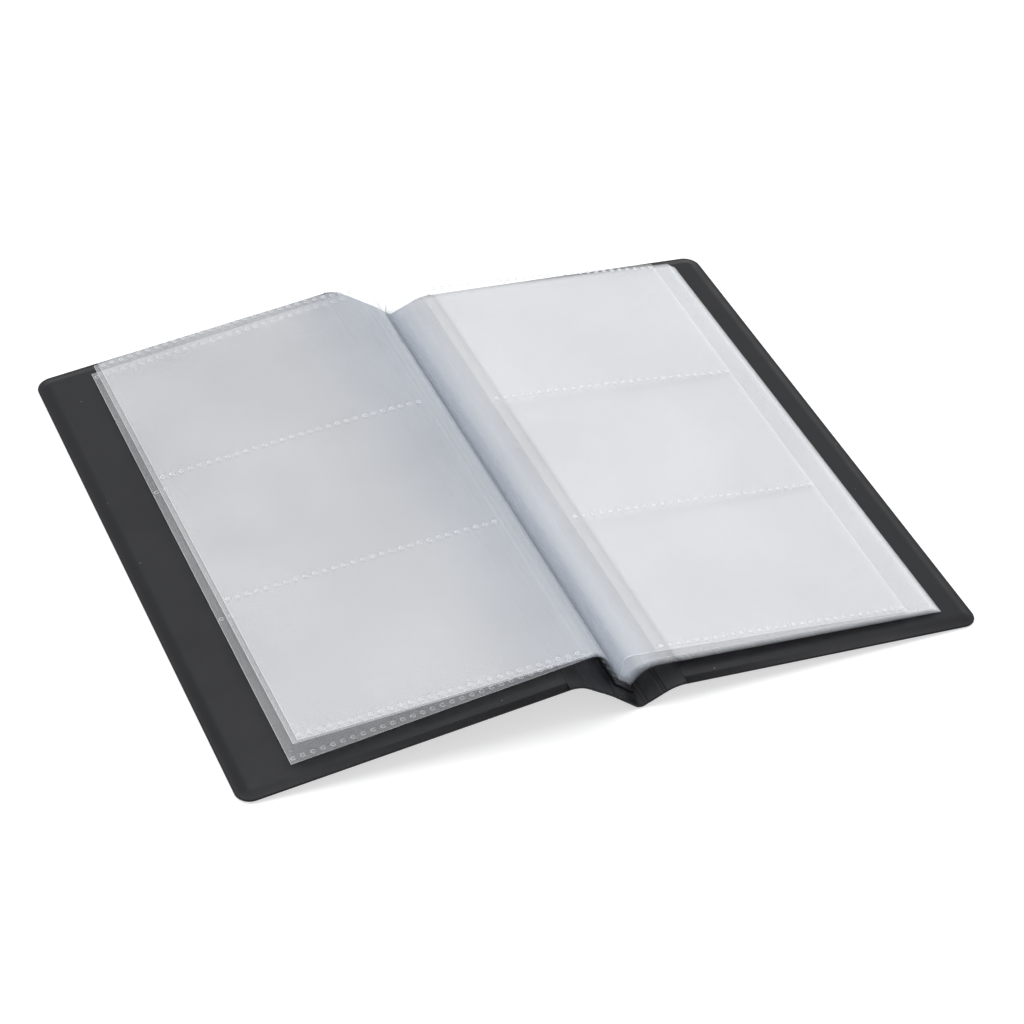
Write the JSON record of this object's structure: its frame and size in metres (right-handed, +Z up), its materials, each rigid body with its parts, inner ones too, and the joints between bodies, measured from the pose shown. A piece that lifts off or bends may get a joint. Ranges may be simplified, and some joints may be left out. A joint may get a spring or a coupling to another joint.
{
  "type": "clear pocket display book",
  "caption": "Display book lying open: clear pocket leaves for business cards, bound by curved film margins to the spine of a black plastic cover with hinged panels.",
  "frame": {"origin": "middle of the open book's footprint on the table", "axes": "+X from the front cover on the left to the back cover on the right, +Y along the spine to the far end, +Z up"},
  "size_m": [0.2354, 0.2, 0.0198],
  "materials": {
    "cover_skin": "satin",
    "board": "grey pulp board",
    "binding_strip": "satin",
    "clear_film": "clear film, slightly hazy"
  },
  "bodies": {
    "spine": {"spine_outer_skin": "cover_skin", "spine_board": "board", "spine_inner_skin": "cover_skin", "binding_strip": "binding_strip", "front_spine_fold": "cover_skin", "back_spine_fold": "cover_skin", "leaf_01_margin": "clear_film", "leaf_02_margin": "clear_film", "leaf_03_margin": "clear_film", "leaf_04_margin": "clear_film", "leaf_05_margin": "clear_film", "leaf_06_margin": "clear_film", "leaf_07_margin": "clear_film", "leaf_08_margin": "clear_film", "leaf_09_margin": "clear_film", "leaf_10_margin": "clear_film"},
    "front_hinge": {"front_hinge_web": "cover_skin", "front_cover_fold": "cover_skin"},
    "front_cover": {"front_outer_skin": "cover_skin", "front_board": "board", "front_inner_skin": "cover_skin"},
    "back_hinge": {"back_hinge_web": "cover_skin", "back_cover_fold": "cover_skin"},
    "back_cover": {"back_outer_skin": "cover_skin", "back_board": "board", "back_inner_skin": "cover_skin"},
    "leaf_01": {"leaf_01_back_film": "clear_film", "leaf_01_front_film": "clear_film"},
    "leaf_02": {"leaf_02_back_film": "clear_film", "leaf_02_front_film": "clear_film"},
    "leaf_03": {"leaf_03_back_film": "clear_film", "leaf_03_front_film": "clear_film"},
    "leaf_04": {"leaf_04_back_film": "clear_film", "leaf_04_front_film": "clear_film"},
    "leaf_05": {"leaf_05_back_film": "clear_film", "leaf_05_front_film": "clear_film"},
    "leaf_06": {"leaf_06_back_film": "clear_film", "leaf_06_front_film": "clear_film"},
    "leaf_07": {"leaf_07_back_film": "clear_film", "leaf_07_front_film": "clear_film"},
    "leaf_08": {"leaf_08_back_film": "clear_film", "leaf_08_front_film": "clear_film"},
    "leaf_09": {"leaf_09_back_film": "clear_film", "leaf_09_front_film": "clear_film"},
    "leaf_10": {"leaf_10_back_film": "clear_film", "leaf_10_front_film": "clear_film"}
  },
  "joints": [
    {"name": "front_hinge_turn", "type": "hinge", "parent": "spine", "child": "front_hinge", "pos_m": [-0.00561, 0, 0.00758], "axis": [0, -1, 0], "range_deg": [-96, 0], "deforming": ["front_spine_fold", "front_cover_fold", "leaf_01_margin", "leaf_02_margin", "leaf_03_margin"]},
    {"name": "front_cover_turn", "type": "hinge", "parent": "front_hinge", "child": "front_cover", "pos_m": [-0.0161, 0, 0.01439], "axis": [0, -1, 0], "range_deg": [-41.07, 0], "deforming": ["front_cover_fold"]},
    {"name": "back_cover_turn", "type": "hinge", "parent": "back_hinge", "child": "back_cover", "pos_m": [0.01529, 0, 0.00529], "axis": [0, 1, 0], "range_deg": [-29.46, 0], "deforming": ["back_cover_fold", "back_spine_fold", "leaf_04_margin", "leaf_05_margin", "leaf_06_margin", "leaf_07_margin", "leaf_08_margin", "leaf_09_margin", "leaf_10_margin"]},
    {"name": "back_hinge_turn", "type": "hinge", "parent": "spine", "child": "back_hinge", "pos_m": [0.0041, 0, -0.00028], "axis": [0, 1, 0], "range_deg": [-24.5, 0], "deforming": ["back_spine_fold"]},
    {"name": "leaf_01_lift", "type": "hinge", "parent": "spine", "child": "leaf_01", "pos_m": [-0.00141, 0, 0.01573], "axis": [0, -1, 0], "range_deg": [-137.72, 0], "deforming": ["leaf_01_margin"]},
    {"name": "leaf_02_lift", "type": "hinge", "parent": "spine", "child": "leaf_02", "pos_m": [-0.0008, 0, 0.01578], "axis": [0, -1, 0], "range_deg": [-134.68, 0], "deforming": ["leaf_02_margin"]},
    {"name": "leaf_03_lift", "type": "hinge", "parent": "spine", "child": "leaf_03", "pos_m": [-0.00015, 0, 0.01614], "axis": [0, -1, 0], "range_deg": [-134.47, 0], "deforming": ["leaf_03_margin"]},
    {"name": "leaf_07_lift", "type": "hinge", "parent": "spine", "child": "leaf_07", "pos_m": [0.00838, 0, 0.0109], "axis": [0, 1, 0], "range_deg": [-55.04, 0], "deforming": ["leaf_04_margin", "leaf_05_margin", "leaf_06_margin", "leaf_07_margin"]},
    {"name": "leaf_08_lift", "type": "hinge", "parent": "spine", "child": "leaf_08", "pos_m": [0.00866, 0, 0.01026], "axis": [0, 1, 0], "range_deg": [-54.97, 0], "deforming": ["leaf_08_margin"]},
    {"name": "leaf_09_lift", "type": "hinge", "parent": "spine", "child": "leaf_09", "pos_m": [0.00894, 0, 0.00962], "axis": [0, 1, 0], "range_deg": [-54.91, 0], "deforming": ["leaf_09_margin"]},
    {"name": "leaf_10_lift", "type": "hinge", "parent": "spine", "child": "leaf_10", "pos_m": [0.00922, 0, 0.00897], "axis": [0, 1, 0], "range_deg": [-54.84, 0], "deforming": ["leaf_10_margin"]},
    {"name": "leaf_06_turn", "type": "hinge", "parent": "leaf_07", "child": "leaf_06", "pos_m": [-0.00014, 0, 0.01869], "axis": [0, -1, 0], "range_deg": [0, 15], "deforming": ["leaf_04_margin", "leaf_05_margin", "leaf_06_margin"]},
    {"name": "leaf_05_turn", "type": "hinge", "parent": "leaf_06", "child": "leaf_05", "pos_m": [-0.00014, 0, 0.01869], "axis": [0, -1, 0], "range_deg": [0, 25], "deforming": ["leaf_04_margin", "leaf_05_margin"]},
    {"name": "leaf_04_turn", "type": "hinge", "parent": "leaf_05", "child": "leaf_04", "pos_m": [-0.00014, 0, 0.01869], "axis": [0, -1, 0], "range_deg": [0, 147.15], "deforming": ["leaf_04_margin"]}
  ],
  "couplings": [
    {"joint": "front_cover_turn", "follows": "front_hinge_turn", "ratio": 0.42783},
    {"joint": "back_hinge_turn", "follows": "back_cover_turn", "ratio": 0.83161},
    {"joint": "leaf_01_lift", "follows": "front_hinge_turn", "ratio": 1.4345},
    {"joint": "leaf_02_lift", "follows": "front_hinge_turn", "ratio": 1.4028},
    {"joint": "leaf_03_lift", "follows": "front_hinge_turn", "ratio": 1.4007},
    {"joint": "leaf_07_lift", "follows": "back_cover_turn", "ratio": 1.8681},
    {"joint": "leaf_08_lift", "follows": "back_cover_turn", "ratio": 1.8659},
    {"joint": "leaf_09_lift", "follows": "back_cover_turn", "ratio": 1.8637},
    {"joint": "leaf_10_lift", "follows": "back_cover_turn", "ratio": 1.8615}
  ]
}
